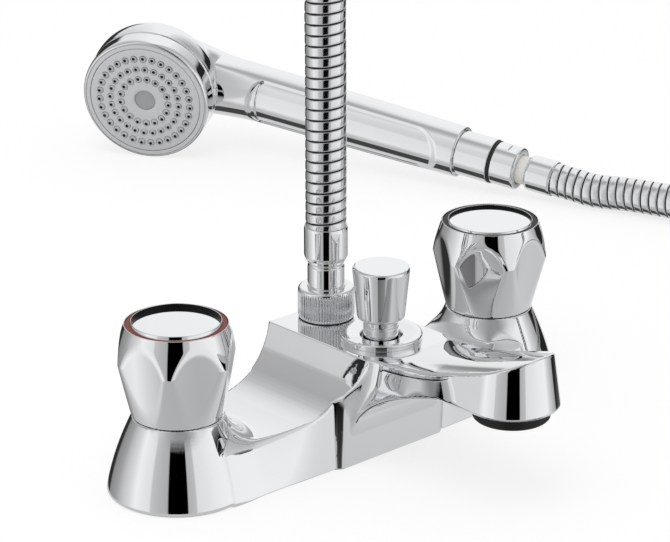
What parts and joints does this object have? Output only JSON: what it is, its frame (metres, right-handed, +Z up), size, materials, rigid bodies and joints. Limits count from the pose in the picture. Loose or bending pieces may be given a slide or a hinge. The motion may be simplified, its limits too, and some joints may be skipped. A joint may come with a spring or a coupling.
{
  "type": "bath shower mixer",
  "caption": "Chrome deck-mounted bath shower mixer with faceted handles, a lift diverter, a ribbed metal hose and a hand shower.",
  "frame": {"origin": "on the deck that the mixer stands on, midway between its two inlets", "axes": "+Z up from the deck, +X from the hot inlet to the cold inlet, the spout points to -Y"},
  "size_m": [0.4967, 0.5884, 0.3974],
  "materials": {
    "chrome": "bright polished chrome plate",
    "hose_chrome": "bright ribbed metal, polished on the ribs and dark in the grooves",
    "brass": "machined brass",
    "black_rubber": "matt black rubber",
    "red_fibre": "red fibre",
    "red_plastic": "glossy red",
    "dark_plastic": "glossy dark grey",
    "steel": "plain steel",
    "black_plastic": "satin black",
    "white_plastic": "off-white, satin",
    "grey_plastic": "light grey, satin",
    "grey_rubber": "soft light grey"
  },
  "bodies": {
    "mixer": {"mixer_body": "chrome", "hot_tail": "brass", "cold_tail": "brass", "back_nuts": "brass", "deck_washers": "black_rubber", "base_gaskets": "black_rubber", "hot_bonnet": "brass", "cold_bonnet": "brass", "bonnet_washers": "red_fibre", "diverter_bonnet": "chrome", "aerator_housing": "black_plastic", "aerator_insert": "white_plastic", "aerator_washer": "black_rubber", "outlet_nipple": "brass", "hose_washer": "black_rubber", "hose_nut": "chrome", "hose_neck": "chrome", "mixer_ferrule": "chrome", "shower_hose": "hose_chrome", "handset_ferrule": "chrome", "swivel_insert": "white_plastic"},
    "hot_handle": {"hot_knob": "chrome", "hot_index_ring": "red_plastic", "hot_index_cap": "chrome", "hot_knob_screw": "steel", "hot_spindle": "brass", "hot_circlip": "steel", "hot_spindle_seals": "black_rubber"},
    "cold_handle": {"cold_knob": "chrome", "cold_index_ring": "dark_plastic", "cold_index_cap": "chrome", "cold_knob_screw": "steel", "cold_spindle": "brass", "cold_circlip": "steel", "cold_spindle_seals": "black_rubber"},
    "hot_valve": {"hot_jumper": "brass", "hot_tap_washer": "black_rubber"},
    "cold_valve": {"cold_jumper": "brass", "cold_tap_washer": "black_rubber"},
    "diverter": {"diverter_knob": "chrome", "diverter_stem": "brass", "diverter_piston": "white_plastic", "diverter_seals": "black_rubber"},
    "handset": {"swivel_nut": "chrome", "swivel_washer": "black_rubber", "swivel_gasket": "black_rubber", "handset_sleeve": "chrome", "handset_body": "chrome", "handset_bezel": "chrome", "spray_plate": "grey_plastic", "nozzle_mat": "grey_rubber", "spray_disc": "grey_plastic"}
  },
  "joints": [
    {"name": "hot_handle_turn", "type": "hinge", "parent": "mixer", "child": "hot_handle", "pos_m": [-0.09, 0, 0.05], "axis": [0, 0, 1], "range_deg": [0, 720]},
    {"name": "cold_handle_turn", "type": "hinge", "parent": "mixer", "child": "cold_handle", "pos_m": [0.09, 0, 0.05], "axis": [0, 0, 1], "range_deg": [0, 720]},
    {"name": "hot_valve_lift", "type": "slide", "parent": "mixer", "child": "hot_valve", "axis": [0, 0, 1], "range_m": [0, 0.005]},
    {"name": "cold_valve_lift", "type": "slide", "parent": "mixer", "child": "cold_valve", "axis": [0, 0, 1], "range_m": [0, 0.005]},
    {"name": "diverter_lift", "type": "slide", "parent": "mixer", "child": "diverter", "axis": [0, 0, 1], "range_m": [0, 0.009]},
    {"name": "handset_swivel", "type": "hinge", "parent": "mixer", "child": "handset", "pos_m": [0.27354, 0.1648, 0.01487], "axis": [0.3395, -0.9321, -0.1259], "continuous": true}
  ],
  "couplings": [
    {"joint": "hot_valve_lift", "follows": "hot_handle_turn", "m_per_rad": 0.00039788},
    {"joint": "cold_valve_lift", "follows": "cold_handle_turn", "m_per_rad": 0.00039788}
  ]
}
